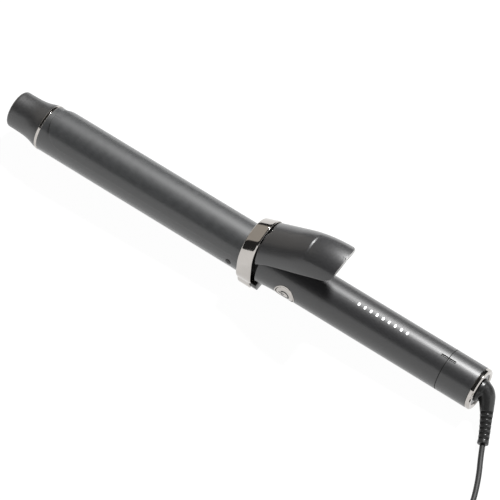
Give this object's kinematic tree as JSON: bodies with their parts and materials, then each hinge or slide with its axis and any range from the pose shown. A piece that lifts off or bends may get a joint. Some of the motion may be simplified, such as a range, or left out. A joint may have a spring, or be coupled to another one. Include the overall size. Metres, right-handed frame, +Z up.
{
  "type": "curling iron",
  "caption": "Curling iron with a spring clip and thumb lever, cool tip, polished collar with a foot, power button, row of lights, heat dial and swivel mains cord with a plug.",
  "frame": {"origin": "middle of the iron's bounding box at the surface it rests on, without the cord, coil, plug and strain relief", "axes": "+X along the iron towards the cool tip, +Z up on the thumb lever's side, +Y to the power button's side"},
  "size_m": [0.4818, 0.149, 0.07],
  "materials": {
    "barrel_coating": "satin",
    "clip_coating": "satin",
    "tip_plastic": "matte",
    "handle_plastic": "matte",
    "gunmetal": "polished",
    "gunmetal_plastic": "plated",
    "black_gloss": "gloss",
    "cord_rubber": "gloss",
    "steel": "satin",
    "spring_steel": "satin",
    "black_steel": "matte",
    "aluminium": "plain",
    "ceramic": null,
    "insulator": "matte",
    "circuit_board": "satin",
    "dark_module": "potted",
    "sensor": "gloss",
    "light_lens": "lit",
    "light_strip": "matte",
    "inner_plastic": "matte",
    "brass_blade": "nickel plated"
  },
  "bodies": {
    "handle": {"barrel": "barrel_coating", "cool_tip": "tip_plastic", "tip_ring": "gunmetal", "tip_plug": "insulator", "tip_screw": "steel", "heat_spreader_upper": "aluminium", "heat_spreader_lower": "aluminium", "heater_plate": "ceramic", "thermistor": "sensor", "thermal_fuse": "ceramic", "barrel_socket": "insulator", "barrel_screws": "black_steel", "collar": "gunmetal_plastic", "foot_pad": "black_gloss", "hinge_pins": "steel", "clip_springs": "spring_steel", "handle_shell": "handle_plastic", "chassis": "inner_plastic", "control_board": "circuit_board", "power_module": "dark_module", "board_screws": "steel", "led_lenses": "light_lens", "led_strip": "light_strip", "button_bezel": "gunmetal_plastic", "button_switch": "dark_module", "dial_spindle": "inner_plastic", "dial_encoder": "circuit_board", "end_ring": "gunmetal_plastic", "end_cap": "black_gloss", "cord_lead": "cord_rubber", "cord_coil": "cord_rubber", "cord_tie": "cord_rubber", "cord_tail": "cord_rubber", "plug_body": "cord_rubber", "plug_blades": "brass_blade"},
    "clip_and_lever": {"clip": "clip_coating", "clip_bracket": "black_steel", "thumb_lever": "handle_plastic", "lever_screws": "steel"},
    "power_button": {"power_button": "gunmetal_plastic"},
    "heat_dial": {"heat_dial": "handle_plastic"},
    "cord_swivel": {"swivel_stem": "black_gloss", "swivel_clip": "steel", "strain_relief": "cord_rubber"}
  },
  "joints": [
    {"name": "clip_hinge", "type": "hinge", "parent": "handle", "child": "clip_and_lever", "pos_m": [-0.01202, 0, 0.01636], "axis": [0, -1, 0], "range_deg": [0, 16], "stiffness_Nm_per_rad": 0.4, "springref_deg": -20.05, "deforming": ["clip_springs"]},
    {"name": "power_button_press", "type": "slide", "parent": "handle", "child": "power_button", "axis": [-0.004, -0.9903, 0.1391], "range_m": [0, 0.0008], "stiffness_N_per_m": 400, "springref_m": -0.0006},
    {"name": "heat_dial_turn", "type": "hinge", "parent": "handle", "child": "heat_dial", "pos_m": [-0.16604, 0, 0.01495], "axis": [0.9996, 0, 0.0286], "range_deg": [-20, 20], "stiffness_Nm_per_rad": 0.06},
    {"name": "cord_swivel_turn", "type": "hinge", "parent": "handle", "child": "cord_swivel", "pos_m": [-0.18103, 0, 0.01453], "axis": [0.9996, 0, 0.0286], "continuous": true}
  ]
}
